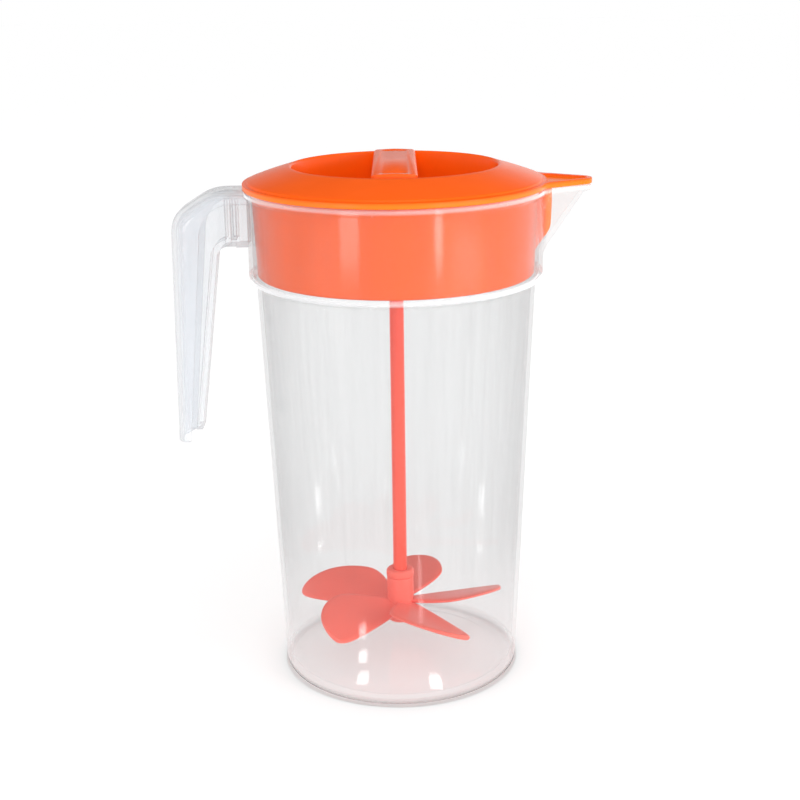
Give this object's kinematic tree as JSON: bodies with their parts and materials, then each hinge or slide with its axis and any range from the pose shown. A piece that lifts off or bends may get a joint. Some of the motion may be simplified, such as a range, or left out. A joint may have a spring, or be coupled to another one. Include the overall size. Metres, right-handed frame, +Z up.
{
  "type": "mixing pitcher",
  "caption": "Clear drink pitcher with a spout, an open-ended handle, an orange push-in lid and a built-in rod mixer with a bladed rotor for stirring powder into liquid.",
  "frame": {"origin": "centre of the foot ring on the table, on the jug's axis", "axes": "+Z up along the jug's axis, +X towards the spout, -X towards the handle"},
  "size_m": [0.1866, 0.1334, 0.2358],
  "materials": {
    "clear_body": "clear gloss, faintly milky",
    "clear_handle": "clear gloss, faintly milky",
    "lid_orange": "moulded gloss",
    "bush_natural": "natural, satin",
    "grip_orange": "moulded gloss",
    "rod_orange": "moulded satin",
    "rotor_orange": "moulded satin"
  },
  "bodies": {
    "pitcher": {"pitcher_body": "clear_body", "pitcher_handle": "clear_handle"},
    "lid": {"lid": "lid_orange"},
    "guide": {"rod_bush": "bush_natural"},
    "mixer": {"grip_bar": "grip_orange", "mixer_rod": "rod_orange", "rotor_collar": "rotor_orange", "rotor": "rotor_orange"}
  },
  "joints": [
    {"name": "lid_lift", "type": "slide", "parent": "pitcher", "child": "lid", "axis": [0, 0, 1], "range_m": [0, 0.24]},
    {"name": "stir", "type": "hinge", "parent": "lid", "child": "guide", "pos_m": [0, 0, 0.215], "axis": [0, 0, 1], "continuous": true},
    {"name": "plunge", "type": "slide", "parent": "guide", "child": "mixer", "axis": [0, 0, 1], "range_m": [0, 0.154]}
  ]
}
